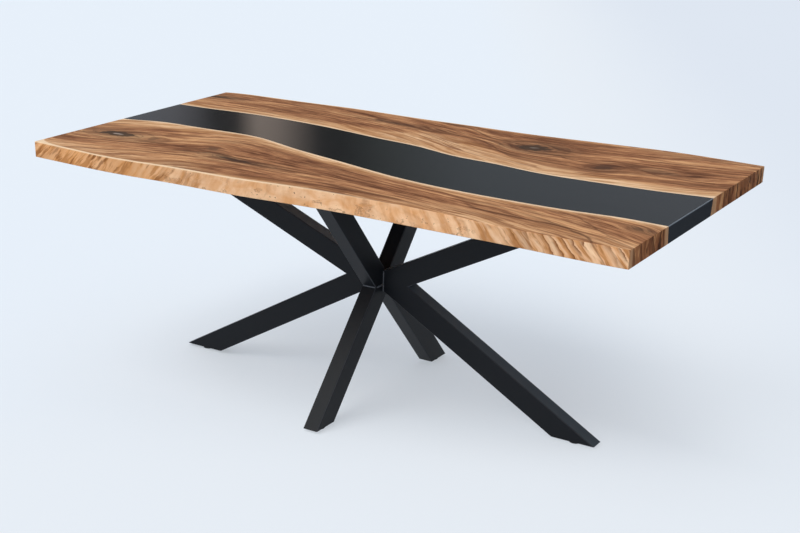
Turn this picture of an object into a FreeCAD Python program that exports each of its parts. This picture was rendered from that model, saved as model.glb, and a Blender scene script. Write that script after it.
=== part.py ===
import FreeCAD, Part
import math
import os
from collections import namedtuple

# Live-edge river dining table on a welded eight-armed steel base.
# Millimetres, +Z up. The origin is on the floor, under the middle of the top's bounding
# rectangle. +X runs along the length to the right end, +Y across it to the rear edge.

# ---------------------------------------------------------------------------------------
# Driving dimensions
# ---------------------------------------------------------------------------------------

# Table top
table_length = 1980.0
table_width = 1074.0            # between the outermost points of the two live edges
table_height = 760.0
top_thickness = 50.0
arris_radius = 2.0              # eased edge all round the top
bank_overrun = 20.0             # how far the river's bank curves run past the ends

# Outlines of the top as (station, offset) pairs. A station is a share of half the length.
# Front and rear edges: the offset runs inwards from the table's widest line.
front_edge_upper = [(-1.0, 22), (-0.84, 11), (-0.66, 0), (-0.45, 15), (-0.22, 21), (0.0, 46),
                    (0.22, 53), (0.46, 49), (0.64, 28), (0.82, 29), (1.0, 32)]
front_edge_lower = [(-1.0, 23), (-0.84, 14), (-0.66, 9), (-0.45, 18), (-0.22, 20), (0.0, 36),
                    (0.22, 42), (0.46, 38), (0.64, 37), (0.82, 29), (1.0, 28)]
rear_edge_upper = [(-1.0, 92), (-0.95, 79), (-0.8, 68), (-0.62, 60), (-0.45, 50), (-0.2, 54),
                   (0.02, 48), (0.2, 47), (0.36, 33), (0.52, 16), (0.7, 1), (0.84, 4), (1.0, 13)]
rear_edge_lower = [(-1.0, 88), (-0.95, 77), (-0.8, 71), (-0.62, 56), (-0.45, 52), (-0.2, 48),
                   (0.02, 50), (0.2, 41), (0.36, 35), (0.52, 22), (0.7, 9), (0.84, 8), (1.0, 18)]
# River banks: the offset runs from the table's middle line towards the rear.
front_bank = [(-1.0, -108), (-0.88, -75), (-0.74, -66), (-0.6, -60), (-0.48, -62), (-0.38, -90),
              (-0.28, -124), (-0.16, -156), (-0.03, -190), (0.12, -230), (0.26, -254),
              (0.42, -267), (0.58, -270), (0.74, -264), (0.88, -251), (1.0, -256)]
rear_bank = [(-1.0, 182), (-0.85, 188), (-0.7, 201), (-0.56, 200), (-0.4, 188), (-0.27, 168),
             (-0.13, 145), (0.02, 124), (0.16, 84), (0.3, 71), (0.46, 46), (0.62, 45),
             (0.78, 53), (0.9, 65), (1.0, 78)]
front_bank_lean = 3.0           # how far the front slab runs on under the resin at its foot
rear_bank_lean = 14.0           # the same for the rear slab

# Steel stiffening channels let into the underside
channel_width = 38.0
channel_depth = 12.0
channel_wall = 3.0
channel_spacing = 860.0         # between the two channels' middle lines
channel_end_margin = 107.0      # from the table's widest line to a channel's end
channel_screw_inset = 36.0      # from a channel's end to its first screw
channel_screw_pitch = 90.0      # between the two screws at one end
groove_clearance = 0.3          # between a channel and its groove

# Rectangular tube of the base
tube_depth = 70.0               # in the plane of an arm pair
tube_width = 50.0
tube_wall = 3.0
tube_corner_radius = 3.0

# Arm pairs. A valley is the outer crease where a pair's two arms meet, reached from the
# base's axis. An inset runs from the top's end, or its widest line, in to an arm's outer
# edge: at the cut face of the foot, or where the arm meets its plate.
base_offset_y = -64.0           # the base's axis stands in front of the middle line
long_valley_reach = 112.0
long_valley_height = 377.0
short_valley_reach = 66.0
short_valley_drop = 8.0         # how far the short pairs' valleys lie below the long pairs'
long_foot_inset = 236.0
left_upper_inset = 80.0
right_upper_inset = 240.0
short_foot_inset = 153.0
short_upper_inset = 189.0

# Mounting plates on the upper arms
plate_thickness = 6.0
plate_width = 110.0
plate_margin = 25.0             # from the tube's cut end to the plate's edge
plate_corner_radius = 8.0
slot_edge_distance = 18.0       # from a slot's middle to the plate's edge, both ways
slot_width = 9.0
slot_length = 16.0

# Fasteners: hexagon bolts for the plates, button-head screws for the channels
bolt_diameter = 8.0
bolt_head_across = 13.0
bolt_head_height = 5.3
bolt_insert_diameter = 12.0
bolt_insert_length = 22.0
screw_diameter = 6.0
screw_head_diameter = 10.5
screw_head_height = 3.3
screw_insert_diameter = 9.0
screw_insert_length = 16.0
washer_diameter = 16.0
washer_thickness = 1.6
thread_clearance = 0.1          # radial, of a screw in its insert and an insert in its hole
clearance_hole_gap = 0.5        # radial, of a channel screw in the channel's web
blind_hole_extra = 4.0          # how much deeper a hole is than what it holds

# Feet: a plug plate with a weld nut in each lower arm, and a levelling glide
foot_gap = 8.0                  # floor to the cut face of a lower arm
plug_thickness = 6.0
plug_clearance = 0.3            # between the plug plate and the tube's walls
nut_across = 17.0
nut_height = 8.0
stud_diameter = 10.0
stud_running_gap = 0.05         # radial, of a stud in its plate and nut
stud_reserve = 12.0             # how far a stud stands past its nut when screwed right in
stud_floor_gap = 2.0            # pad material under a stud's end
stud_point = 1.0                # chamfer at a stud's upper end
pad_diameter = 38.0
pad_seat_gap = 0.3              # between a pad and the cut face above it
pad_edge_radius = 2.5
pad_recess = 0.05               # radial, of a stud in its pad

# ---------------------------------------------------------------------------------------
# Derived planes
# ---------------------------------------------------------------------------------------

half_length = table_length / 2
half_width = table_width / 2
underside = table_height - top_thickness
plate_underside = underside - plate_thickness
channel_roof = underside + channel_depth
channel_half_run = half_width - channel_end_margin
far_away = 2 * table_length     # longer than any cut that has to run right through
same_place = 1e-6               # two measures that differ by less are the same

UP = FreeCAD.Vector(0, 0, 1)
ACROSS = FreeCAD.Vector(0, 1, 0)
ORIGIN = FreeCAD.Vector(0, 0, 0)

os.makedirs("parts", exist_ok=True)


def save(name, shape):
    """Write one sub-part to its own file."""
    shape.exportStep(os.path.join("parts", name + ".step"))


def box(low, high):
    """Box between two corners."""
    size = [high[i] - low[i] for i in range(3)]
    return Part.makeBox(size[0], size[1], size[2], FreeCAD.Vector(*low))


def cylinder(radius, low_z, high_z, x=0.0, y=0.0):
    """Upright cylinder between two heights."""
    return Part.makeCylinder(radius, high_z - low_z, FreeCAD.Vector(x, y, low_z), UP)


def hexagon(across_flats, low_z, high_z, x=0.0, y=0.0):
    """Upright hexagonal prism between two heights."""
    corner = across_flats / math.sqrt(3)
    points = []
    for i in range(7):
        turn = math.radians(60 * i)
        points.append(FreeCAD.Vector(x + corner * math.cos(turn), y + corner * math.sin(turn), low_z))
    face = Part.Face(Part.makePolygon(points))
    return face.extrude(FreeCAD.Vector(0, 0, high_z - low_z))


def upright_edges(shape):
    """Straight edges of a shape that run along Z."""
    found = []
    for edge in shape.Edges:
        ends = [vertex.Point for vertex in edge.Vertexes]
        if len(ends) == 2 and abs(abs((ends[1] - ends[0]).z) - edge.Length) < same_place:
            found.append(edge)
    return found


# ---------------------------------------------------------------------------------------
# Table top: two live-edge slabs with a cast resin river between them
# ---------------------------------------------------------------------------------------

def outline_curve(pairs, line, inwards, z, overrun=0.0, shift=0.0):
    """Smooth curve through (station, offset) pairs, measured from the line at y = line."""
    stations = [(share * half_length, offset) for share, offset in pairs]
    if overrun:
        first, last = stations[0], stations[-1]
        stations = [(first[0] - overrun, first[1])] + stations + [(last[0] + overrun, last[1])]
    points = [FreeCAD.Vector(x, line + inwards * offset + shift, z) for x, offset in stations]
    curve = Part.BSplineCurve()
    curve.interpolate(points)
    return curve


def ruled_block(lower_front, lower_rear, upper_front, upper_rear):
    """Solid between two level outlines, each of a front curve, a rear curve and straight ends."""
    outlines = []
    for front, rear in ((lower_front, lower_rear), (upper_front, upper_rear)):
        right_end = Part.makeLine(front.EndPoint, rear.EndPoint)
        left_end = Part.makeLine(rear.StartPoint, front.StartPoint)
        edges = Part.__sortEdges__([front.toShape(), right_end, rear.toShape(), left_end])
        outlines.append(Part.Wire(edges))
    return Part.makeLoft(outlines, True, True)


def straight_curve(y, z, overrun):
    """Level straight line along the table, as a curve of the same kind as the banks."""
    reach = half_length + overrun
    curve = Part.BSplineCurve()
    curve.interpolate([FreeCAD.Vector(-reach, y, z), FreeCAD.Vector(reach, y, z)])
    return curve


def top_blank():
    """The whole top as one piece, with its outer arrises eased."""
    blank = ruled_block(
        outline_curve(front_edge_lower, -half_width, 1, underside),
        outline_curve(rear_edge_lower, half_width, -1, underside),
        outline_curve(front_edge_upper, -half_width, 1, table_height),
        outline_curve(rear_edge_upper, half_width, -1, table_height))
    return blank.makeFillet(arris_radius, blank.Edges)


def bank(pairs, lean, z):
    """One river bank at a height between the underside (full lean) and the top (none)."""
    shift = lean * (table_height - z) / top_thickness
    return outline_curve(pairs, 0.0, 1, z, bank_overrun, shift)


def region(front_of, rear_of):
    """Ruled block between two boundaries, each a function of height."""
    return ruled_block(front_of(underside), rear_of(underside),
                       front_of(table_height), rear_of(table_height))


def front_bank_at(z):
    return bank(front_bank, front_bank_lean, z)


def rear_bank_at(z):
    return bank(rear_bank, -rear_bank_lean, z)


def far_front_at(z):
    return straight_curve(-table_width, z, bank_overrun)


def far_rear_at(z):
    return straight_curve(table_width, z, bank_overrun)


def channel_places():
    """Middle line of each stiffening channel."""
    return {"left": -channel_spacing / 2, "right": channel_spacing / 2}


def channel_screw_places():
    """Where the channels' screws stand: two at each end of each channel."""
    places = []
    for x in channel_places().values():
        for side in (-1, 1):
            for step in (0, 1):
                y = side * (channel_half_run - channel_screw_inset - step * channel_screw_pitch)
                places.append((x, y))
    return places


def channel(x):
    """Stiffening channel with its web against the groove's roof and its flanges down."""
    half = channel_width / 2
    bar = box((x - half, -channel_half_run, underside), (x + half, channel_half_run, channel_roof))
    inside = half - channel_wall
    web_foot = channel_roof - channel_wall
    trough = box((x - inside, -far_away, underside - far_away), (x + inside, far_away, web_foot))
    shape = bar.cut(trough)
    hole_radius = screw_diameter / 2 + clearance_hole_gap
    for hole_x, hole_y in channel_screw_places():
        if hole_x == x:
            shape = shape.cut(cylinder(hole_radius, underside, channel_roof, hole_x, hole_y))
    return shape


def channel_groove(x):
    """Groove in the underside that a channel lies in."""
    half = channel_width / 2 + groove_clearance
    run = channel_half_run + groove_clearance
    return box((x - half, -run, underside - channel_depth), (x + half, run, channel_roof))


def insert_hole(diameter, length, mouth_z, x, y):
    """Blind hole for a threaded insert, opening downwards at mouth_z."""
    return cylinder(diameter / 2 + thread_clearance, mouth_z, mouth_z + length + blind_hole_extra, x, y)


def threaded_insert(diameter, length, bore_diameter, mouth_z, x, y):
    """Threaded insert whose lower end lies at mouth_z."""
    outer = cylinder(diameter / 2, mouth_z, mouth_z + length, x, y)
    bore = cylinder(bore_diameter / 2 + thread_clearance, mouth_z, mouth_z + length, x, y)
    return outer.cut(bore)


# ---------------------------------------------------------------------------------------
# Base: four pairs of tube arms
# ---------------------------------------------------------------------------------------

# The short pairs meet on the base's axis; the long pairs butt against their sides.
Pair = namedtuple("Pair", "turn start valley_reach valley_height foot_reach upper_reach")


def long_pair(turn, upper_inset):
    """Left or right pair."""
    return Pair(turn, tube_width / 2, long_valley_reach, long_valley_height,
                half_length - long_foot_inset, half_length - upper_inset)


def short_pair(turn):
    """Front or rear pair."""
    return Pair(turn, 0.0, short_valley_reach, long_valley_height - short_valley_drop,
                half_width - short_foot_inset, half_width - short_upper_inset)


arm_pairs = {
    "right": long_pair(0.0, right_upper_inset),
    "rear": short_pair(90.0),
    "left": long_pair(180.0, left_upper_inset),
    "front": short_pair(270.0),
}


def placed(shape, side):
    """Turn a shape from the +X arm plane to its side, and set it on the base's axis."""
    turned = shape.copy()
    turned.rotate(ORIGIN, UP, arm_pairs[side].turn)
    turned.translate(FreeCAD.Vector(0, base_offset_y, 0))
    return turned


def placed_point(reach, across, side):
    """Plan position of a point given in the +X arm plane."""
    turn = math.radians(arm_pairs[side].turn)
    x = reach * math.cos(turn) - across * math.sin(turn)
    y = reach * math.sin(turn) + across * math.cos(turn)
    return x, y + base_offset_y


def arm_slope(side, upper):
    """Angle of an arm's outer edge from its valley to its end, upwards positive."""
    pair = arm_pairs[side]
    end_reach = pair.upper_reach if upper else pair.foot_reach
    end_z = plate_underside if upper else foot_gap
    return math.atan2(end_z - pair.valley_height, end_reach - pair.valley_reach)


def bar_along(side, upper, inset):
    """Long bar of an arm's section in the +X arm plane, shrunk by inset on every side.

    The outer edge of the whole section passes through the valley. An upper arm lies above
    that edge, and a lower arm below it.
    """
    pair = arm_pairs[side]
    low = inset if upper else inset - tube_depth
    high = low + tube_depth - 2 * inset
    half = tube_width / 2 - inset
    bar = box((-far_away, -half, low), (far_away, half, high))
    if inset == 0:
        along = [edge for edge in bar.Edges if edge.Length > far_away]
        bar = bar.makeFillet(tube_corner_radius, along)
    bar.rotate(ORIGIN, ACROSS, -math.degrees(arm_slope(side, upper)))
    bar.translate(FreeCAD.Vector(pair.valley_reach, 0, pair.valley_height))
    return bar


def arm(side, upper):
    """One tube arm: cut upright at the middle, level at the valley and level at its end."""
    pair = arm_pairs[side]
    tube = bar_along(side, upper, 0).cut(bar_along(side, upper, tube_wall))
    low_z = pair.valley_height if upper else foot_gap
    high_z = plate_underside if upper else pair.valley_height
    kept = box((pair.start, -tube_width, low_z), (table_length, tube_width, high_z))
    return placed(tube.common(kept), side)


def section_reach(side, upper):
    """Inner and outer reach of an arm's level cut."""
    pair = arm_pairs[side]
    outer = pair.upper_reach if upper else pair.foot_reach
    return outer - tube_depth / math.sin(abs(arm_slope(side, upper))), outer


def plate_slot_places(side):
    """Middle of each slot of a mounting plate, as reach and distance across."""
    inner, outer = section_reach(side, True)
    across = plate_width / 2 - slot_edge_distance
    ends = (inner - plate_margin + slot_edge_distance, outer + plate_margin - slot_edge_distance)
    return [(reach, way * across) for reach in ends for way in (-1, 1)]


def mounting_plate(side):
    """Plate welded on an upper arm's end, with four slots that run along the arm."""
    inner, outer = section_reach(side, True)
    half = plate_width / 2
    plate = box((inner - plate_margin, -half, plate_underside), (outer + plate_margin, half, underside))
    plate = plate.makeFillet(plate_corner_radius, upright_edges(plate))
    half_run = (slot_length - slot_width) / 2
    for reach, across in plate_slot_places(side):
        middle = box((reach - half_run, across - slot_width / 2, plate_underside),
                     (reach + half_run, across + slot_width / 2, underside))
        ends = [cylinder(slot_width / 2, plate_underside, underside, reach + way * half_run, across)
                for way in (-1, 1)]
        plate = plate.cut(middle.fuse(ends))
    return placed(plate, side)


def plate_screw_places():
    """Plan position of every screw that holds the base to the top."""
    return [placed_point(reach, across, side)
            for side in arm_pairs for reach, across in plate_slot_places(side)]


def plate_bolt(x, y):
    """Hexagon bolt, head below the washer and plate."""
    head_top = plate_underside - washer_thickness
    head = hexagon(bolt_head_across, head_top - bolt_head_height, head_top, x, y)
    shank = cylinder(bolt_diameter / 2, head_top, underside + bolt_insert_length, x, y)
    return head.fuse(shank).removeSplitter()


def plate_washer(x, y):
    """Washer between a bolt's head and its plate."""
    low = plate_underside - washer_thickness
    hole = cylinder(bolt_diameter / 2 + thread_clearance, low, plate_underside, x, y)
    return cylinder(washer_diameter / 2, low, plate_underside, x, y).cut(hole)


def plate_insert(x, y):
    """Threaded insert in the top over a mounting plate."""
    return threaded_insert(bolt_insert_diameter, bolt_insert_length, bolt_diameter, underside, x, y)


def channel_screw(x, y):
    """Button-head screw with its head inside the channel."""
    web_foot = channel_roof - channel_wall
    head = cylinder(screw_head_diameter / 2, web_foot - screw_head_height, web_foot, x, y)
    shank = cylinder(screw_diameter / 2, web_foot, channel_roof + screw_insert_length, x, y)
    return head.fuse(shank).removeSplitter()


def channel_insert(x, y):
    """Threaded insert in the roof of a channel's groove."""
    return threaded_insert(screw_insert_diameter, screw_insert_length, screw_diameter, channel_roof, x, y)


# ---------------------------------------------------------------------------------------
# Feet
# ---------------------------------------------------------------------------------------

plug_top = foot_gap + plug_thickness
nut_top = plug_top + nut_height
stud_top = nut_top + stud_reserve
stud_hole_radius = stud_diameter / 2 + stud_running_gap


def glide_reach(side):
    """Reach of a glide's axis: the middle of the lower arm's cut face."""
    inner, outer = section_reach(side, False)
    return (inner + outer) / 2


def foot_plate(side):
    """Plug plate welded flush in the open end of a lower arm."""
    cavity = bar_along(side, False, tube_wall + plug_clearance)
    plate = cavity.common(box((0, -tube_width, foot_gap), (table_length, tube_width, plug_top)))
    return placed(plate.cut(cylinder(stud_hole_radius, foot_gap, plug_top, glide_reach(side))), side)


def foot_nut(side):
    """Weld nut on top of the plug plate."""
    reach = glide_reach(side)
    nut = hexagon(nut_across, plug_top, nut_top, reach)
    return placed(nut.cut(cylinder(stud_hole_radius, plug_top, nut_top, reach)), side)


def glide_stud(side):
    """Screw of a levelling glide, pointed at its upper end."""
    stud = cylinder(stud_diameter / 2, stud_floor_gap, stud_top, glide_reach(side))
    rim = [edge for edge in stud.Edges if abs(edge.CenterOfMass.z - stud_top) < same_place]
    return placed(stud.makeChamfer(stud_point, rim), side)


def glide_pad(side):
    """Moulded pad of a levelling glide, with a blind socket for the stud."""
    reach = glide_reach(side)
    pad = cylinder(pad_diameter / 2, 0, foot_gap - pad_seat_gap, reach)
    rims = [edge for edge in pad.Edges if len(edge.Vertexes) == 1]
    pad = pad.makeFillet(pad_edge_radius, rims)
    return placed(pad.cut(cylinder(stud_diameter / 2 + pad_recess, stud_floor_gap, foot_gap, reach)), side)


# ---------------------------------------------------------------------------------------
# Build and write every sub-part
# ---------------------------------------------------------------------------------------

cuts = [channel_groove(x) for x in channel_places().values()]
for x, y in channel_screw_places():
    cuts.append(insert_hole(screw_insert_diameter, screw_insert_length, channel_roof, x, y))
for x, y in plate_screw_places():
    cuts.append(insert_hole(bolt_insert_diameter, bolt_insert_length, underside, x, y))
blank = top_blank().cut(cuts)

top_pieces = {
    "front_slab": (far_front_at, front_bank_at),
    "resin_river": (front_bank_at, rear_bank_at),
    "rear_slab": (rear_bank_at, far_rear_at),
}
for name, (front_of, rear_of) in top_pieces.items():
    save(name, blank.common(region(front_of, rear_of)))

for side, x in channel_places().items():
    save("channel_" + side, channel(x))

hardware = {
    "channel_screws": (channel_screw, channel_screw_places()),
    "channel_inserts": (channel_insert, channel_screw_places()),
    "plate_bolts": (plate_bolt, plate_screw_places()),
    "plate_washers": (plate_washer, plate_screw_places()),
    "plate_inserts": (plate_insert, plate_screw_places()),
}
for name, (piece, places) in hardware.items():
    save(name, Part.makeCompound([piece(x, y) for x, y in places]))

for side in arm_pairs:
    save("upper_arm_" + side, arm(side, True))
    save("lower_arm_" + side, arm(side, False))
    save("mounting_plate_" + side, mounting_plate(side))
    save("foot_plate_" + side, foot_plate(side))
    save("foot_nut_" + side, foot_nut(side))
    save("glide_stud_" + side, glide_stud(side))
    save("glide_pad_" + side, glide_pad(side))
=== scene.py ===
import math
from collections import namedtuple

import bmesh
import bpy
from bpy.props import FloatProperty, FloatVectorProperty, PointerProperty
from mathutils import Matrix, Vector


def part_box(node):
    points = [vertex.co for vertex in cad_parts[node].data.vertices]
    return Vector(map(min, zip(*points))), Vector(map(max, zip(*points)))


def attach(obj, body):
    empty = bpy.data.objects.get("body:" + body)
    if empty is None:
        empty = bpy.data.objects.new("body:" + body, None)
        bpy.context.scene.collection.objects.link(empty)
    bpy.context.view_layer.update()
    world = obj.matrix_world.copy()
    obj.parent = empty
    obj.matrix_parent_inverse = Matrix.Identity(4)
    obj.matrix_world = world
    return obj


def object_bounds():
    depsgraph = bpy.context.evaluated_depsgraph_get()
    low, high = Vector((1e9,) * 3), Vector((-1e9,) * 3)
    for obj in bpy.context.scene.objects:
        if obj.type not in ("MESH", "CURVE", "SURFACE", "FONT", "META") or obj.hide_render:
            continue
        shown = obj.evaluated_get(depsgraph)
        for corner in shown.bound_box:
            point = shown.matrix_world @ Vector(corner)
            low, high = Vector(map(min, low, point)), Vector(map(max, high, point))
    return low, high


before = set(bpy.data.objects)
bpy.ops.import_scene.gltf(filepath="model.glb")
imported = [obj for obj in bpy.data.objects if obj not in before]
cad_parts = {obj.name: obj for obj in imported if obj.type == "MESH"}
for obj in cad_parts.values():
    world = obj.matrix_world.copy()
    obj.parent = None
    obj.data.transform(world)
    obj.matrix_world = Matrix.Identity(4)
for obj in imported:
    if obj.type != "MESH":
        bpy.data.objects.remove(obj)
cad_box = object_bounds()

bl_info = {
    "name": "Live edge river table",
    "version": (1, 0, 0),
    "blender": (4, 5, 0),
    "location": "View3D > Sidebar > River table",
    "description": "Finishes, weld beads and studio for the live edge river table",
    "category": "Object",
}

# The whole table is in metres: +X runs to its right end, +Y to its rear edge, +Z up.

OUTWARD = {"left": (-1, 0), "right": (1, 0), "front": (0, -1), "rear": (0, 1)}
NEAR = 1e-4     # how close two places are to count as one
half_length = cad_box[1].x
top_height = cad_box[1].z


def tint(red, green, blue):
    """Linear colour of an 8-bit display colour."""
    linear = []
    for level in (red, green, blue):
        share = level / 255
        linear.append(share / 12.92 if share < 0.04045 else ((share + 0.055) / 1.055) ** 2.4)
    return linear


def new_object(name, data):
    made = bpy.data.objects.new(name, data)
    bpy.context.scene.collection.objects.link(made)
    return made


def mesh_object(name, build):
    """Object whose mesh is drawn by build(bm)."""
    bm = bmesh.new()
    build(bm)
    mesh = bpy.data.meshes.new(name)
    bm.to_mesh(mesh)
    bm.free()
    return new_object(name, mesh)


# ---- Shader helpers ----

class Value:
    """A number on a shader socket, which takes part in Python arithmetic."""

    def __init__(self, nodes, socket):
        self.nodes = nodes
        self.socket = socket

    def worked(self, operation, first, second):
        node = self.nodes.node("ShaderNodeMath", {"operation": operation}, {0: first, 1: second})
        return Value(self.nodes, node.outputs[0])

    def __add__(self, other):
        return self.worked("ADD", self, other)

    def __sub__(self, other):
        return self.worked("SUBTRACT", self, other)

    def __rsub__(self, other):
        return self.worked("SUBTRACT", other, self)

    def __mul__(self, other):
        return self.worked("MULTIPLY", self, other)

    def __truediv__(self, other):
        return self.worked("DIVIDE", self, other)

    def __pow__(self, other):
        return self.worked("POWER", self, other)

    def __abs__(self):
        return self.worked("ABSOLUTE", self, 0.0)

    __radd__ = __add__
    __rmul__ = __mul__


# Rays that see a surface or the world, rather than gather light from it.
SEEING_RAYS = ("Is Camera Ray", "Is Glossy Ray", "Is Transmission Ray")


class Nodes:
    """A shader node tree under construction."""

    def __init__(self, tree):
        self.tree = tree
        self.coordinates = self.node("ShaderNodeTexCoord")

    def feed(self, socket, value):
        """Set a socket's value, or link it."""
        if isinstance(value, Value):
            value = value.socket
        if isinstance(value, bpy.types.NodeSocket):
            self.tree.links.new(value, socket)
        elif socket.type == "RGBA":
            socket.default_value = (*value, 1.0)
        else:
            socket.default_value = value

    def node(self, kind, settings=None, values=None):
        """Add a node: its settings first, then the value or link of each socket."""
        made = self.tree.nodes.new(kind)
        for key, setting in (settings or {}).items():
            if key == "stops":
                self.set_stops(made.color_ramp, setting)
            elif key == "points":
                self.set_points(made.mapping, setting)
            else:
                setattr(made, key, setting)
        for key, value in (values or {}).items():
            self.feed(made.inputs[key], value)
        return made

    def set_stops(self, color_ramp, stops):
        while len(color_ramp.elements) < len(stops):
            color_ramp.elements.new(1.0)
        for element, (position, color) in zip(color_ramp.elements, stops):
            element.position = position
            element.color = (*color, 1.0)

    def set_points(self, mapping, points):
        line = mapping.curves[0]
        line.points[0].location = points[0]
        line.points[1].location = points[-1]
        for point in points[1:-1]:
            line.points.new(*point)
        mapping.update()

    def split(self, socket):
        """The three parts of a vector."""
        parts = self.node("ShaderNodeSeparateXYZ", values={0: socket})
        return [Value(self, output) for output in parts.outputs]

    def position(self):
        return self.split(self.coordinates.outputs["Object"])

    def facing(self):
        return self.split(self.coordinates.outputs["Normal"])

    def vector(self, x, y, z):
        return self.node("ShaderNodeCombineXYZ", values={0: x, 1: y, 2: z}).outputs[0]

    def noise(self, x, y, z, detail=2, roughness=0.5, distortion=0.0):
        """Cloudy noise, 0 to 1, over three numbers that each grow by 1 per patch."""
        node = self.node("ShaderNodeTexNoise", values={
            "Vector": self.vector(x, y, z), "Scale": 1.0, "Detail": detail,
            "Roughness": roughness, "Distortion": distortion})
        return Value(self, node.outputs[0])

    def smooth(self, value, start, end):
        """Soft step from 0 at start to 1 at end; start may be the larger."""
        node = self.node("ShaderNodeMapRange", {"interpolation_type": "SMOOTHSTEP"}, {
            "Value": value, "From Min": start, "From Max": end})
        return Value(self, node.outputs[0])

    def least(self, first, second):
        return first.worked("MINIMUM", first, second)

    def most(self, first, *others):
        """The greatest of several values."""
        for other in others:
            first = first.worked("MAXIMUM", first, other)
        return first

    def along(self, x, points):
        """Smooth curve over the table's length through (x, height) points."""
        low = min(height for place, height in points)
        rise = max(height for place, height in points) - low
        spread = [(0.5 + place / (2 * half_length), (height - low) / rise)
                  for place, height in points]
        share = x / (2 * half_length) + 0.5
        node = self.node("ShaderNodeFloatCurve", {"points": spread}, {"Value": share})
        return Value(self, node.outputs[0]) * rise + low

    def ramp(self, value, stops):
        """Colour through evenly blended (position, colour) stops."""
        return self.node("ShaderNodeValToRGB", {"stops": stops}, {0: value}).outputs[0]

    def mix(self, share, first, second):
        """Colour from first at a share of 0 to second at 1."""
        node = self.node("ShaderNodeMix", {"data_type": "RGBA"}, {0: share, 6: first, 7: second})
        return node.outputs[2]

    def paint(self, ground, *layers):
        """Colour of a ground under layers, each a share and a colour."""
        for share, color in layers:
            ground = self.mix(share, ground, color)
        return ground

    def send_out(self, output, light, view, share=1.0):
        """Give out one shader as light; the camera, mirrors and clear glass see a share of view."""
        rays = self.node("ShaderNodeLightPath").outputs
        seen = self.most(*[Value(self, rays[kind]) for kind in SEEING_RAYS])
        blend = self.node("ShaderNodeMixShader", values={
            0: seen * share, 1: light.outputs[0], 2: view.outputs[0]})
        self.feed(self.tree.nodes[output].inputs["Surface"], blend.outputs[0])


class Finish(Nodes):
    """One procedural material under construction."""

    def __init__(self, name):
        self.material = bpy.data.materials.new(name)
        self.material.use_nodes = True
        super().__init__(self.material.node_tree)
        self.shader = self.tree.nodes["Principled BSDF"]

    def bump(self, height, depth):
        """Raise the surface by a height of 0 to 1 times a depth in metres."""
        node = self.node("ShaderNodeBump", values={"Height": height, "Distance": depth})
        self.feed(self.shader.inputs["Normal"], node.outputs[0])

    def set(self, **sockets):
        """Values or links of the surface shader, with underscores for spaces."""
        for name, value in sockets.items():
            self.feed(self.shader.inputs[name.replace("_", " ")], value)

    def coat(self, *nodes):
        """Put this finish on CAD nodes."""
        for name in nodes:
            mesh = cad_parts[name].data
            mesh.materials.clear()
            mesh.materials.append(self.material)


# ---- Shapes read from the frame ----

def long_line(node, towards_rear):
    """(x, y) points along the front or the rear edge of a node's top face."""
    low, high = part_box(node)
    middle = (low.y + high.y) / 2
    found = {}
    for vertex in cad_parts[node].data.vertices:
        x, y, z = vertex.co
        if top_height - z < NEAR and (y > middle) == towards_rear:
            found[round(x, 3)] = y
    return sorted(found.items())


def height_at(line, place):
    """Straight-line reading of a sorted list of points."""
    for (x0, y0), (x1, y1) in zip(line, line[1:]):
        if x0 <= place <= x1:
            return y0 + (y1 - y0) * (place - x0) / (x1 - x0)
    return line[0][1] if place < line[0][0] else line[-1][1]


def stations(line, count=21):
    """The same line read at evenly spaced places along the table."""
    places = [half_length * (2 * i / (count - 1) - 1) for i in range(count)]
    return [(place, height_at(line, place)) for place in places]


# A knot: its place on the slab, the size of its eye, how dark it is, and how pale its core.
Knot = namedtuple("Knot", "x y length width darkness core", defaults=[0.0])

# A mineral line: the (x, y) points it passes through, half its width, and how dark it is.
Seam = namedtuple("Seam", "path half_width darkness")


USUAL_WIDTH = 0.8   # a slab's middling width, as a share of the room it takes up


class Slab:
    """A slab's two long lines, and what is particular to its timber.

    Each band, drift or strength is a list of (x, value) points along the table.
    """

    def __init__(self, node, river_at_rear, seed, sapwood, rim, shade, drift, lean, figure,
                 knots, seams):
        self.node = node
        self.bank = long_line(node, river_at_rear)
        self.edge = long_line(node, not river_at_rear)
        low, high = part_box(node)
        self.width = (high.y - low.y) * USUAL_WIDTH
        self.seed = seed
        self.sapwood = sapwood      # width of the pale band along the river
        self.rim = rim              # width of the pale band along the live edge
        self.shade = shade          # how much lighter the heartwood is than its usual tone
        self.drift = drift          # how far the growth lines have moved across the slab
        self.lean = lean            # how far they move along it on their way down
        self.figure = figure        # how strongly they show on the live edge
        self.knots = knots
        self.seams = seams

    def flow_at(self, x, y):
        """Where a point lies across the slab: 0 at the live edge, the width at the river."""
        bank, edge = height_at(self.bank, x), height_at(self.edge, x)
        return (y - edge) / (bank - edge) * self.width


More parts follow.
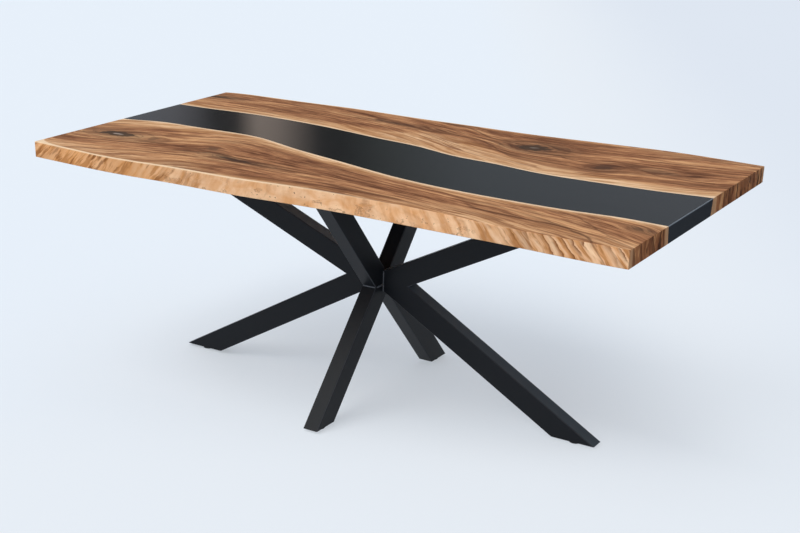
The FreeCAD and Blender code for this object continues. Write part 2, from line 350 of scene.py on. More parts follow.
FRONT = Slab(
    "front_slab", True, 3.0,
    sapwood=[(-0.99, 0.09), (-0.7, 0.07), (-0.3, 0.05), (0.0, 0.045), (0.4, 0.022), (0.99, 0.03)],
    rim=[(-0.99, 0.05), (-0.7, 0.07), (-0.45, 0.06), (-0.2, 0.02), (0.2, 0.03), (0.6, 0.07),
         (0.99, 0.04)],
    shade=[(-0.99, 0.09), (-0.5, 0.08), (-0.1, -0.04), (0.2, -0.01), (0.5, 0.12), (0.8, 0.13),
           (0.99, 0.06)],
    drift=[(-0.99, 0.17), (-0.8, 0.11), (-0.6, 0.055), (-0.4, 0.015), (-0.2, 0.0), (0.2, 0.0),
           (0.45, 0.03), (0.65, 0.08), (0.85, 0.17), (0.99, 0.25)],
    lean=[(-0.99, 1.1), (-0.6, 1.0), (-0.2, 0.4), (0.2, -0.3), (0.5, -0.7), (0.99, -0.75)],
    figure=[(-0.99, 0.65), (-0.65, 0.85), (-0.42, 0.5), (0.0, 0.12), (0.35, 0.3), (0.62, 0.7),
            (0.99, 1.0)],
    knots=[Knot(-0.85, -0.283, 0.16, 0.06, 1.0, 1.0), Knot(-0.717, -0.277, 0.04, 0.03, 0.6),
           Knot(-0.485, -0.275, 0.045, 0.03, 0.65), Knot(-0.338, -0.341, 0.17, 0.028, 0.95),
           Knot(0.945, -0.33, 0.07, 0.05, 0.55)],
    seams=[Seam([(0.47, -0.378), (0.643, -0.41), (0.713, -0.412), (0.8, -0.436), (0.884, -0.501)],
                0.006, 0.7),
           Seam([(0.656, -0.296), (0.74, -0.306), (0.788, -0.337), (0.911, -0.431), (0.974, -0.457)],
                0.004, 0.5),
           Seam([(-0.738, -0.328), (-0.506, -0.306), (-0.24, -0.359), (-0.026, -0.335)],
                0.007, 0.5)])
REAR = Slab(
    "rear_slab", False, 11.0,
    sapwood=[(-0.99, 0.06), (-0.6, 0.06), (-0.3, 0.08), (-0.1, 0.15), (0.05, 0.19), (0.2, 0.16),
             (0.33, 0.11), (0.5, 0.1), (0.7, 0.08), (0.99, 0.075)],
    rim=[(-0.99, 0.02), (-0.4, 0.012), (0.1, 0.012), (0.5, 0.02), (0.8, 0.035), (0.99, 0.03)],
    shade=[(-0.99, 0.03), (-0.3, 0.03), (0.1, 0.02), (0.4, 0.0), (0.7, 0.02), (0.99, 0.03)],
    drift=[(-0.99, 0.12), (-0.6, 0.09), (-0.3, 0.05), (0.2, -0.08), (0.4, -0.11), (0.7, -0.08),
           (0.99, -0.03)],
    lean=[(-0.99, -0.8), (-0.3, -0.5), (0.3, 0.6), (0.99, 0.5)],
    figure=[(-0.99, 0.8), (-0.3, 0.5), (0.3, 0.5), (0.99, 0.9)],
    knots=[Knot(0.316, 0.323, 0.13, 0.07, 1.0, 0.4), Knot(-0.942, 0.366, 0.13, 0.05, 0.85),
           Knot(-0.25, 0.37, 0.22, 0.03, 0.6), Knot(0.598, 0.23, 0.06, 0.05, 0.6),
           Knot(0.76, 0.27, 0.16, 0.03, 0.55)],
    seams=[Seam([(-0.166, 0.314), (0.005, 0.333), (0.181, 0.282), (0.31, 0.198), (0.473, 0.181)],
                0.006, 0.5),
           Seam([(-0.162, 0.49), (-0.005, 0.458), (0.178, 0.358), (0.26, 0.345)], 0.006, 0.6),
           Seam([(0.42, 0.3), (0.55, 0.245), (0.66, 0.262), (0.8, 0.22), (0.95, 0.235)], 0.005, 0.5)])


# ---- Settings ----

def color_setting(name, description, *levels):
    return FloatVectorProperty(name=name, description=description, default=tint(*levels),
                               subtype="COLOR", size=3, min=0.0, max=1.0)


def number_setting(name, description, number, **kind):
    return FloatProperty(name=name, description=description, default=number, min=0.0, **kind)


def length_setting(name, description, metres):
    return number_setting(name, description, metres, unit="LENGTH")


def share_setting(name, description, share):
    return number_setting(name, description, share, subtype="FACTOR", max=1.0)


class TimberLook(bpy.types.PropertyGroup):
    """Colours and grain of the two slabs."""

    heartwood: color_setting("Heartwood", "Body colour of the heartwood", 166, 113, 76)
    dark_grain: color_setting("Dark grain", "Darkest streaks of the heartwood", 100, 62, 40)
    light_grain: color_setting("Light grain", "Palest streaks of the heartwood", 214, 160, 112)
    growth_line: color_setting("Growth line", "Dark lines that follow the grain", 78, 46, 31)
    knot: color_setting("Knot", "Eye of a knot", 62, 50, 42)
    sapwood: color_setting("Sapwood", "Pale wood along the river", 216, 168, 124)
    live_edge: color_setting("Live edge", "Pale wood of the live edge", 234, 184, 141)
    golden_wood: color_setting("Golden wood", "Live edge at the left end", 236, 164, 98)
    edge_figure: color_setting("Edge figure", "Dark figure on the live edge", 150, 92, 46)
    end_grain: color_setting("End grain", "Body colour of the sawn ends", 172, 112, 70)
    growth_spacing: length_setting("Growth spacing", "Distance between growth lines", 0.05)
    edge_line_spacing: length_setting("Edge line spacing", "Distance between live-edge lines", 0.03)
    pore_depth: length_setting("Pore depth", "How deep the open grain is", 0.00012)
    roughness: share_setting("Roughness", "Roughness of the oiled surface", 0.6)
    gloss: share_setting("Gloss", "Specular level of the oiled surface", 0.03)


class RiverLook(bpy.types.PropertyGroup):
    """The cast resin."""

    resin: color_setting("Resin", "Colour of the resin", 17, 18, 19)
    sawn_resin: color_setting("Sawn resin", "Colour of the resin's sawn ends", 53, 55, 58)
    polish: share_setting("Polish roughness", "Roughness of the polished top", 0.12)
    # Painted highlight: a pale grey on the resin ends' eased edges, standing in for the light they
    # catch.
    painted_resin_arris_highlight: color_setting("Sanded arris", "Colour of the ends' eased edges", 120, 126, 132)
    arris_width: length_setting("Arris width", "Width of the ends' eased edges", 0.0025)


class BaseLook(bpy.types.PropertyGroup):
    """The steel base."""

    coat: color_setting("Coat", "Colour of the powder coat", 23, 25, 29)
    # Painted highlight: the beads' coat is much paler than the arms', standing in for glints on their
    # ripples.
    painted_bead_glint: color_setting("Bead coat", "Colour of the powder coat on the weld beads", 88, 90, 94)
    # Painted light: a paler, bluish coat colour on faces that look up, standing in for light from above.
    painted_top_light: color_setting("Dust", "Colour of the coat where it faces up", 142, 154, 166)
    # Painted highlight: a paler coat colour over the tubes' rounded corners, standing in for the light
    # they catch.
    painted_corner_highlight: color_setting("Thin coat", "Colour of the powder coat over corners", 58, 60, 64)
    grain_size: length_setting("Grain size", "Size of the powder coat's texture", 0.0016)
    roughness: share_setting("Roughness", "Roughness of the powder coat", 0.45)
    gloss: share_setting("Gloss", "Specular level of the powder coat", 0.16)
    bead_radius: length_setting("Bead radius", "Half the width of a weld bead", 0.003)
    ripple_pitch: length_setting("Ripple pitch", "Distance between a bead's ripples", 0.004)


class HardwareLook(bpy.types.PropertyGroup):
    """Screws, inserts and glides."""

    zinc: color_setting("Zinc", "Colour of the plated steel", 200, 203, 206)
    brass: color_setting("Brass", "Colour of the threaded inserts", 196, 160, 92)
    nylon: color_setting("Nylon", "Colour of the glides", 26, 26, 27)


class StudioLook(bpy.types.PropertyGroup):
    """Floor, lights and camera."""

    floor: color_setting("Floor", "Colour of the floor and backdrop", 232, 238, 245)
    # Painted shade: the floor's darker colour off to the right stands in for light falling off.
    painted_dim_floor: color_setting("Far floor", "Colour of the floor off to the right", 223, 230, 240)
    floor_glow: share_setting("Floor glow", "Share of the floor's light that no shadow takes", 0.48)
    room_light: number_setting("Room light", "Strength of the even light", 0.68)
    room_fall: share_setting("Room fall", "How much dimmer the even light is from the right", 0.7)
    key_light: number_setting("Key light", "Strength of the main light", 1.6)
    key_angle: number_setting("Key angle", "How wide the main light looks from the table",
                              math.radians(46), subtype="ANGLE", max=math.pi)
    focal_length: FloatProperty(name="Focal length", description="Lens on a 36 mm wide sensor",
                                default=65.657, min=1.0, unit="CAMERA")


SETTINGS = {
    "river_table_timber": TimberLook,
    "river_table_river": RiverLook,
    "river_table_base": BaseLook,
    "river_table_hardware": HardwareLook,
    "river_table_studio": StudioLook,
}


# ---- Timber ----

EASED = 0.002           # width of the slabs' eased edges
BANK_HIGHLIGHT_SPAN = (0.016, 0.005)    # distances from the river at which the painted highlight along the bank starts and is full
ARRIS_HIGHLIGHT_SPAN = (0.4, -0.2)     # places along the table between which the painted highlight on the arris grows in, leftwards


class SlabFinish(Finish):
    """Oiled timber of one slab: dark heartwood between two bands of sapwood.

    Every face reads the same growth lines, which cross the top, run over the arris and
    lean down the live edge, so that the slab looks sawn from one log.
    """

    def __init__(self, slab, look):
        super().__init__(slab.node + "_timber")
        self.slab = slab
        self.look = look
        self.x, self.y, z = self.position()
        self.depth = top_height - z
        bank = self.along(self.x, stations(slab.bank))
        edge = self.along(self.x, stations(slab.edge))
        across = (self.y - edge) / (bank - edge)
        self.from_edge = across * abs(bank - edge)
        self.from_bank = (1 - across) * abs(bank - edge)
        self.lay_grain(across)

        face_x, _, face_z = self.facing()
        to_top = self.smooth(abs(face_z), 0.55, 0.85)
        to_end = self.smooth(abs(face_x), 0.6, 0.8)
        sides = self.mix(to_end, self.live_edge(), self.sawn_end())
        self.set(Base_Color=self.mix(to_top, sides, self.broad_face()),
                 Roughness=look.roughness + (self.fine - 0.5) * 0.14 - (self.streak - 0.5) * 0.1,
                 Specular_IOR_Level=look.gloss)
        relief = (self.fine + self.streak) * to_top * 0.6 + (1 - to_top) * self.carving
        self.bump(relief, look.pore_depth)
        self.coat(slab.node)

    def clear(self, noise):
        """Spread a noise's middle values over 0 to 1."""
        return self.smooth(noise, 0.32, 0.68)

    def blend(self, *parts):
        """Sum of cleared noises, each times its share."""
        return sum(self.clear(noise) * share for noise, share in parts)

    def lay_grain(self, across):
        """Grain that runs between the river and the live edge, and bends round the knots."""
        slab, seed = self.slab, self.slab.seed
        self.leant = self.x + self.along(self.x, slab.lean) * self.depth
        meander = self.noise(self.leant * 1.6, across * 1.8, seed) - 0.5
        flow = across * slab.width + meander * 0.08
        self.knot_shades = []
        self.knot_cores = []
        for knot in slab.knots:
            flow = self.bend_round(knot, flow)
        flow = flow + self.along(self.leant, slab.drift)
        wander = self.noise(self.leant * 5, flow * 10, seed + 1, detail=3) - 0.5
        flow = flow + wander * 0.03
        along = self.leant
        self.broad = self.noise(along * 1.5, flow * 11, seed + 2)
        self.streak = self.noise(along * 4.5, flow * 46, seed + 3, detail=4, roughness=0.62)
        self.vein = self.noise(along * 10, flow * 105, seed + 4, detail=3, roughness=0.6)
        self.fine = self.noise(along * 34, flow * 380, seed + 5)
        self.stroke = self.strokes(along, flow)
        self.growth = self.growth_lines(along, flow)
        self.mineral = self.seam_lines()

    def strokes(self, along, flow):
        """Short dark strokes with crisp rims, in patches."""
        seed = self.slab.seed
        grain = self.noise(along * 5.5, flow * 44, seed + 6, detail=4, roughness=0.55)
        patch = self.noise(along * 2.2, flow * 9, seed + 7)
        return self.smooth(grain + (patch - 0.5) * 0.3, 0.56, 0.61)

    def growth_lines(self, along, flow):
        """Lines that darken slowly and end sharply, some bold and some faint."""
        seed, spacing = self.slab.seed, self.look.growth_spacing
        bend = self.noise(along * 1.3, flow * 6, seed + 8) - 0.5
        bold = self.one_line(flow + bend * 0.24, spacing, 2)
        bold = bold * self.smooth(self.noise(along * 2.2, flow * 14, seed + 9), 0.36, 0.56)
        slight = self.one_line(flow + bend * 0.3, spacing * 0.4, 2)
        slight = slight * self.smooth(self.noise(along * 4, flow * 30, seed + 10), 0.4, 0.6)
        return self.most(bold, slight * 0.6)

    def one_line(self, place, spacing, sharpness):
        """Repeats at a spacing: rises from 0 to 1, then drops at once."""
        node = self.node("ShaderNodeMath", {"operation": "FRACT"}, {0: place / spacing})
        turn = Value(self, node.outputs[0])
        return turn ** sharpness * self.smooth(turn, 1.0, 0.95)

    def seam_lines(self):
        """Mineral lines, which run on down the live edge with the grain."""
        lines = []
        for seam in self.slab.seams:
            start, end = seam.path[0][0], seam.path[-1][0]
            away = abs(self.y - self.along(self.leant, seam.path) + (self.vein - 0.5) * 0.02)
            line = self.smooth(away, seam.half_width * 1.5, seam.half_width * 0.5)
            line = line * self.smooth(self.leant, start - 0.05, start + 0.04)
            lines.append(line * self.smooth(self.leant, end + 0.05, end - 0.03) * seam.darkness)
        return self.most(*lines)

    def bend_round(self, knot, flow):
        """Push the grain aside round a knot, and shade its eye, its rings and its core."""
        middle = self.slab.flow_at(knot.x, knot.y)
        along = (self.x - knot.x) / (knot.length / 2)
        aside = (flow - middle) / (knot.width / 2)
        distance = (along * along + aside * aside) ** 0.5
        hold = self.smooth(distance, 3.2, 0.3)
        ragged = self.noise(self.x * 40, flow * 80, knot.x * 9, detail=3) - 0.5
        eye = self.smooth(distance + ragged * 1.3, 1.25, 0.6)
        ring = self.one_line(distance + ragged * 0.5, 0.62, 2) * self.smooth(distance, 3.0, 1.2)
        halo = self.smooth(distance, 2.8, 0.8) * 0.42
        self.knot_shades.append(self.most(eye, ring * 0.75, halo) * knot.darkness)
        self.knot_cores.append(self.smooth(distance + ragged * 0.4, 0.3, 0.1) * knot.core)
        return flow - (flow - middle) * hold * 0.7

    def broad_face(self):
        """Top and underside."""
        look = self.look
        tone = self.blend((self.broad, 0.26), (self.streak, 0.34), (self.vein, 0.26), (self.fine, 0.14))
        tone = tone + self.along(self.x, self.slab.shade)
        heart = self.ramp(tone, [
            (0.2, look.dark_grain), (0.36, tint(140, 90, 60)), (0.5, look.heartwood),
            (0.64, tint(190, 134, 92)), (0.8, look.light_grain)])
        heart = self.paint(
            heart,
            (self.stroke * 0.55, tint(102, 62, 41)),
            (self.growth * 0.72, look.growth_line),
            (self.most(*self.knot_shades) * 0.92, look.knot),
            (self.most(*self.knot_cores) * 0.6, tint(190, 170, 156)))

        feather = (self.streak - 0.5) * 0.08 + (self.broad - 0.5) * 0.05 + (self.vein - 0.5) * 0.04
        bank_width = self.along(self.x, self.slab.sapwood)
        rim_width = self.along(self.x, self.slab.rim)
        bank_band = self.smooth((self.from_bank + feather) / bank_width, 1.1, 0.75)
        rim_band = self.smooth((self.from_edge + feather) / rim_width, 1.4, 0.5) * 0.7
        pale_tone = self.blend((self.streak, 0.3), (self.vein, 0.3), (self.fine, 0.1), (self.broad, 0.3))
        pale = self.ramp(pale_tone, [
            (0.16, tint(156, 104, 64)), (0.4, tint(188, 136, 92)), (0.62, look.sapwood),
            (0.82, tint(238, 196, 154))])
        brown = self.smooth(self.from_bank, 0.03, 0.08)
        pale = self.paint(
            pale,
            (self.stroke * (brown * 0.55 + 0.2), tint(128, 80, 50)),
            (self.growth * (brown * 0.45 + 0.3), tint(128, 80, 50)))
        # Painted highlights: a pale line along the river bank and on the live edge's top arris.
        painted_bank_highlight = self.smooth(self.from_bank, *BANK_HIGHLIGHT_SPAN) * 0.75
        painted_arris_highlight = self.smooth(self.from_edge, EASED * 3, EASED * 1.5) * self.smooth(self.x, *ARRIS_HIGHLIGHT_SPAN) * 0.9
        return self.paint(
            heart,
            (self.most(bank_band, rim_band), pale),
            (self.mineral, look.growth_line),
            (self.most(painted_bank_highlight, painted_arris_highlight), tint(242, 210, 174)))

    def live_edge(self):
        """The natural edge: leaning streaks at its ends, smooth and speckled between them."""
        look, seed = self.look, self.slab.seed
        strength = self.along(self.x, self.slab.figure)
        mottle = self.noise(self.x * 15, self.depth * 26, seed + 11, detail=4, roughness=0.6,
                            distortion=0.6)
        swirl = self.noise(self.x * 9, self.depth * 16, seed + 12) - 0.5
        leant = self.leant + swirl * 0.035
        leaning = self.noise(leant * 28, self.depth * 6, seed + 13, detail=4, roughness=0.62)
        sliver = self.noise(leant * 62, self.depth * 14, seed + 14, detail=3, roughness=0.55)
        streaky = self.blend((leaning, 0.7), (sliver, 0.3))
        tone = (self.clear(mottle) * 0.34 + 0.4) * (1 - strength) + (streaky * 0.86 + 0.04) * strength
        ground = self.ramp(tone, [
            (0.1, tint(196, 128, 76)), (0.36, tint(222, 160, 106)), (0.6, look.live_edge),
            (0.88, tint(250, 210, 168))])
        golden = self.smooth(self.x, -0.35, -0.6) * 0.5
        cluster = self.noise(self.x * 9, self.depth * 9, seed + 17) - 0.5
        flecks = self.smooth(leaning + cluster * 0.4, 0.51, 0.41)
        cuts = self.smooth(sliver + cluster * 0.5, 0.46, 0.38) * self.smooth(self.x, 0.5, -0.2)
        lines = self.one_line(leant + (mottle - 0.5) * 0.03, look.edge_line_spacing, 2)
        lines = lines * self.smooth(self.x, 0.45, 0.7) * self.smooth(cluster, -0.12, 0.04)
        figure = self.most(flecks * 0.6, lines * 0.85)
        dark = self.most(cuts, lines ** 2, self.growth * 0.6) * strength
        bold = self.smooth(self.x, -0.3, 0.5) * 0.32 + 0.66
        ridge = self.noise(self.x * 13, self.depth * 20, seed + 15, detail=4, roughness=0.6)
        smudge = self.smooth(ridge, 0.54, 0.68)
        crack = self.smooth(abs(ridge - 0.58), 0.014, 0.004) * self.smooth(self.depth, 0.01, 0.03)
        specks = self.smooth(self.noise(self.x * 120, self.depth * 140, seed + 16), 0.65, 0.7)
        specks = specks * self.smooth(mottle, 0.46, 0.6)
        calm = self.smooth(strength, 0.9, 0.4)
        corner = self.smooth(self.x, half_length - EASED * 1.75, half_length - EASED * 0.5) * 0.6
        # Painted highlight: the live edge's top arris turns pale towards the left end.
        painted_arris_highlight = self.smooth(self.depth, EASED * 2, EASED * 0.5) * self.smooth(self.x, *ARRIS_HIGHLIGHT_SPAN) * 0.8
        carved = self.blend((leaning, 0.7), (sliver, 0.5))
        self.carving = carved * strength + self.clear(mottle) * 0.8
        return self.paint(
            ground,
            (golden, look.golden_wood),
            (figure * strength, look.edge_figure),
            (dark * bold, tint(96, 42, 12)),
            (smudge * calm * 0.6, tint(166, 112, 70)),
            (self.most(specks, crack * 0.45) * calm * 0.9, tint(84, 42, 18)),
            (self.mineral, tint(104, 66, 44)),
            (corner, tint(110, 68, 40)),
            (painted_arris_highlight, tint(244, 212, 172)))

    def sawn_end(self):
        """End grain: the growth lines cut across, paler beside the river and at the bark."""
        look, seed = self.look, self.slab.seed
        waver = self.noise(self.from_edge * 9, self.depth * 16, seed + 18) - 0.5
        place = self.from_edge + waver * 0.05
        rays = self.noise(place * 34, self.depth * 10, seed + 19, detail=4, roughness=0.6)
        cracks = self.noise(place * 60, self.depth * 13, seed + 20, detail=3)
        tone = self.blend((self.streak, 0.2), (rays, 0.5), (self.broad, 0.3))
        end = self.ramp(tone, [
            (0.15, tint(112, 64, 38)), (0.38, tint(150, 94, 58)), (0.6, look.end_grain),
            (0.85, tint(214, 154, 102))])
        dark = self.most(self.smooth(cracks, 0.56, 0.61), self.growth) * 0.85
        side = self.least(self.from_bank, self.from_edge)
        return self.paint(
            end,
            (dark, tint(66, 39, 26)),
            (self.smooth(side, 0.02, 0.008) * 0.6, tint(214, 164, 120)))


class TABLE_OT_finish_slabs(bpy.types.Operator):
    """Finish both live-edge slabs"""
    bl_idname = "river_table.finish_slabs"
    bl_label = "Finish slabs"

    def execute(self, context):
        look = context.scene.river_table_timber
        SlabFinish(FRONT, look)
        SlabFinish(REAR, look)
        return {"FINISHED"}


# ---- River ----

SANDING_DEPTH = 0.000004


class TABLE_OT_finish_river(bpy.types.Operator):
    """Polish the black resin river"""
    bl_idname = "river_table.finish_river"
    bl_label = "Finish river"

    def execute(self, context):
        look = context.scene.river_table_river
        finish = Finish("black_resin")
        x, y, z = finish.position()
        face_x, _, face_z = finish.facing()
        cloud = finish.noise(x * 5, y * 5, z * 5, detail=3)
        sanding = finish.noise(x * 400, y * 60, z * 400)
        deep = [level * 0.75 for level in look.resin]
        color = finish.mix(cloud, deep, look.resin)
        color = finish.mix(finish.smooth(abs(face_x), 0.6, 0.9), color, look.sawn_resin)
        # Painted highlight: the ends' eased edges take a pale grey, standing in for the light they
        # catch.
        beyond = abs(x) - (half_length - look.arris_width)
        below = z - (top_height - look.arris_width)
        painted_arris_highlight = finish.smooth(beyond + below, look.arris_width * 0.9, look.arris_width * 1.3)
        finish.set(Base_Color=finish.mix(painted_arris_highlight, color, look.painted_resin_arris_highlight),
                   Roughness=(cloud - 0.5) * 0.1 + (sanding - 0.5) * 0.1 + 0.55,
                   Specular_IOR_Level=0.02,
                   Coat_Weight=finish.smooth(face_z, 0.6, 0.95),
                   Coat_Roughness=look.polish)
        finish.bump(sanding, SANDING_DEPTH)
        finish.coat("resin_river")
        return {"FINISHED"}


# ---- Steel base ----

PEBBLE_DEPTH = 0.00006


def powder_coat(name, look, coat, across=None):
    """Matt black powder coat with its fine pebbled texture, and painted light on the faces that look up.

    It has a painted highlight, a paler coat, over the corners of a tube whose sides face along the axis
    called across.
    """
    finish = Finish(name)
    x, y, z = finish.position()
    size = look.grain_size
    pebble = finish.noise(x / size, y / size, z / size, roughness=0.6)
    cloud = finish.noise(x * 7, y * 7, z * 7)
    light = [level * 1.2 for level in coat]
    facing = finish.facing()
    color = finish.mix(cloud * 0.6 + pebble * 0.4, coat, light)
    # Painted light: faces that look up take a paler colour, as if lit from above.
    painted_top_light_share = finish.smooth(facing[2], 0.83, 0.93) * (cloud * 0.4 + 0.6)
    color = finish.mix(painted_top_light_share, color, look.painted_top_light)
    # Painted highlight: a paler coat over the tube's rounded corners stands in for the light they catch.
    if across is not None:
        turned = abs(facing[across])
        corner = finish.smooth(turned, 0.2, 0.45) * finish.smooth(turned, 0.97, 0.85)
        color = finish.mix(corner, color, look.painted_corner_highlight)
    finish.set(Base_Color=color,
               Roughness=look.roughness + (pebble - 0.5) * 0.14 + (cloud - 0.5) * 0.08,
               Specular_IOR_Level=look.gloss)
    finish.bump(pebble, PEBBLE_DEPTH)
    return finish


class TABLE_OT_coat_base(bpy.types.Operator):
    """Powder-coat the arms, plates and channels"""
    bl_idname = "river_table.coat_base"
    bl_label = "Coat base"

    def execute(self, context):
        look = context.scene.river_table_base
        plain = powder_coat("powder_coat", look, look.coat)
        long_arms = powder_coat("powder_coat_long_arms", look, look.coat, across=1)
        short_arms = powder_coat("powder_coat_short_arms", look, look.coat, across=0)
        for side, outward in OUTWARD.items():
            arms = long_arms if outward[0] else short_arms
            arms.coat("upper_arm_" + side, "lower_arm_" + side)
            plain.coat("mounting_plate_" + side, "foot_plate_" + side)
        plain.coat("channel_left", "channel_right")
        return {"FINISHED"}


BEAD_SPAN = 0.86    # share of a tube's width that a bead across it covers
BEAD_SHORT = 0.2    # how far short of a corner a bead along a side stops, in half widths
BEAD_TIP = 0.6      # size of a bead's ends
BEAD_SWELL = (0.8, 1.0, 0.95)   # sizes of the rings that make one ripple
BEAD_SIDES = 10
LEAST_RIPPLES = 3


class ArmPair:
    """The seams of one V of arms, read from its nodes as reach, place across and height."""

    def __init__(self, side):
        self.out = Vector((*OUTWARD[side], 0))
        self.aside = Vector((0, 0, 1)).cross(self.out)
        low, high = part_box("upper_arm_left")
        self.axis = Vector((0, (low.y + high.y) / 2, 0))
        upper = self.points("upper_arm_" + side)
        lower = self.points("lower_arm_" + side)
        self.half_width = max(point.y for point in upper)
        self.valley = min(point.z for point in upper)
        self.valley_reach = max(point.x for point in upper if point.z < self.valley + NEAR)
        self.start = min(point.x for point in upper)
        self.start_top = max(point.z for point in upper if point.x < self.start + NEAR)
        self.start_bottom = min(point.z for point in lower if point.x < self.start + NEAR)
        self.plate = max(point.z for point in upper)
        reaches = [point.x for point in upper if point.z > self.plate - NEAR]
        self.plate_start, self.plate_end = min(reaches), max(reaches)

    def points(self, node):
        found = []
        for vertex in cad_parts[node].data.vertices:
            place = vertex.co - self.axis
            found.append(Vector((place.dot(self.out), place.dot(self.aside), place.z)))
        return found

    def place(self, reach, across, height):
        return self.axis + self.out * reach + self.aside * across + Vector((0, 0, height))

    def hub_seams(self):
        """Ends of each bead near the hub."""
        side, inner = self.half_width, self.half_width * BEAD_SPAN
        valley, reach = self.valley, self.valley_reach
        yield (reach, -inner, valley), (reach, inner, valley)
        if self.start > NEAR:
            low, high = self.start_bottom, self.start_top
            for across in (-side, side):
                yield (self.start, across, low), (self.start, across, high)
            for height in (low, high):
                yield (self.start, -inner, height), (self.start, inner, height)
        else:
            for across in (-side, side):
                yield (self.start, across, valley), (reach - side * BEAD_SHORT, across, valley)

    def plate_seams(self):
        """Ends of each bead round the arm, under its plate."""
        side, start, end = self.half_width, self.plate_start, self.plate_end
        inner, short = side * BEAD_SPAN, side * BEAD_SHORT
        for across in (-side, side):
            yield (start + short, across, self.plate), (end - short, across, self.plate)
        for reach in (start, end):
            yield (reach, -inner, self.plate), (reach, inner, self.plate)


def run_bead(bm, start, end, look):
    """A weld bead in an empty mesh: a ring drawn along the seam, swelling at each ripple."""
    run = end - start
    ripples = max(LEAST_RIPPLES, round(run.length / look.ripple_pitch))
    steps = ripples * len(BEAD_SWELL)
    turn = run.to_track_quat("Z", "Y").to_matrix().to_4x4()
    matrix = Matrix.Translation(start) @ turn
    bmesh.ops.create_circle(bm, cap_ends=True, segments=BEAD_SIDES, radius=look.bead_radius * BEAD_TIP,
                            matrix=matrix)
    rim = list(bm.edges)
    size = BEAD_TIP
    for step in range(steps):
        grown = bmesh.ops.extrude_edge_only(bm, edges=rim)["geom"]
        verts = [item for item in grown if isinstance(item, bmesh.types.BMVert)]
        rim = [item for item in grown if isinstance(item, bmesh.types.BMEdge)]
        bmesh.ops.translate(bm, verts=verts, vec=run / steps)
        wanted = BEAD_SWELL[step % len(BEAD_SWELL)] if step < steps - 1 else BEAD_TIP
        centre = Matrix.Translation(start + run * (step + 1) / steps)
        bmesh.ops.scale(bm, verts=verts, vec=[wanted / size] * 3, space=centre.inverted())
        size = wanted
    bmesh.ops.holes_fill(bm, edges=rim, sides=0)


def bead_object(name, seams, look):
    """Beads as one object that rides on the table."""
    def draw(bm):
        for start, end in seams:
            bead = bmesh.new()
            run_bead(bead, start, end, look)
            bmesh.ops.recalc_face_normals(bead, faces=bead.faces)
            drawn = bpy.data.meshes.new(name)
            bead.to_mesh(drawn)
            bead.free()
            bm.from_mesh(drawn)
            bpy.data.meshes.remove(drawn)

    beads = mesh_object(name, draw)
    beads.data.shade_smooth()
    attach(beads, "table")
    return beads


class TABLE_OT_weld_base(bpy.types.Operator):
    """Run the weld beads at the hub and under the mounting plates"""
    bl_idname = "river_table.weld_base"
    bl_label = "Weld base"

    def execute(self, context):
        look = context.scene.river_table_base
        # Painted highlight: the beads take a pale coat that stands in for the glints on their ripples.
        bead_glint_finish = powder_coat("powder_coat_painted_glint_beads", look, look.painted_bead_glint).material
        hub = []
        for side in OUTWARD:
            pair = ArmPair(side)
            hub += [[pair.place(*end) for end in seam] for seam in pair.hub_seams()]
            under_plate = [[pair.place(*end) for end in seam] for seam in pair.plate_seams()]
            bead_object("plate_weld_" + side, under_plate, look).data.materials.append(bead_glint_finish)
        # The front and rear pairs also meet each other, on the base's axis.
        front = ArmPair("front")
        for height in (front.start_bottom, front.start_top):
            ends = (-front.half_width, front.half_width)
            hub.append([front.place(0, across, height) for across in ends])
        bead_object("hub_welds", hub, look).data.materials.append(bead_glint_finish)
        return {"FINISHED"}


# ---- Hardware ----

MARK_DEPTH = 0.00003


def turned_metal(name, color, pitch, roughness):
    """Machined metal with fine turning marks up its length."""
    finish = Finish(name)
    x, y, z = finish.position()
    marks = finish.noise(x * 40, y * 40, z / pitch)
    cloud = finish.noise(x * 60, y * 60, z * 60)
    dull = [level * 0.75 for level in color]
    finish.set(Base_Color=finish.mix(cloud, dull, color), Metallic=1.0,
               Roughness=roughness + (marks - 0.5) * 0.2)
    finish.bump(marks, MARK_DEPTH)
    return finish


class TABLE_OT_plate_hardware(bpy.types.Operator):
    """Zinc-plate the bolts, washers, screws, nuts and studs"""
    bl_idname = "river_table.plate_hardware"
    bl_label = "Plate hardware"

    def execute(self, context):
        finish = turned_metal("zinc_plate", context.scene.river_table_hardware.zinc, 0.0008, 0.34)
        finish.coat("plate_bolts", "plate_washers", "channel_screws")
        for side in OUTWARD:
            finish.coat("foot_nut_" + side, "glide_stud_" + side)
        return {"FINISHED"}


class TABLE_OT_finish_inserts(bpy.types.Operator):
    """Finish the brass threaded inserts"""
    bl_idname = "river_table.finish_inserts"
    bl_label = "Finish inserts"

    def execute(self, context):
        finish = turned_metal("insert_brass", context.scene.river_table_hardware.brass, 0.0012, 0.3)
        finish.coat("plate_inserts", "channel_inserts")
        return {"FINISHED"}


class TABLE_OT_mould_glides(bpy.types.Operator):
    """Finish the nylon pads of the levelling glides"""
    bl_idname = "river_table.mould_glides"
    bl_label = "Mould glides"

    def execute(self, context):
        finish = Finish("glide_nylon")
        x, y, z = finish.position()
        grain = finish.noise(x * 900, y * 900, z * 900)
        scuff = finish.noise(x * 70, y * 70, z * 220, detail=3)
        nylon = context.scene.river_table_hardware.nylon
        worn = [level * 1.9 for level in nylon]
        finish.set(Base_Color=finish.mix(finish.smooth(scuff, 0.5, 0.75), nylon, worn),
                   Roughness=(grain - 0.5) * 0.2 + 0.55)
        finish.bump(grain, MARK_DEPTH)
        for side in OUTWARD:
            finish.coat("glide_pad_" + side)
        return {"FINISHED"}


# ---- Stage ----

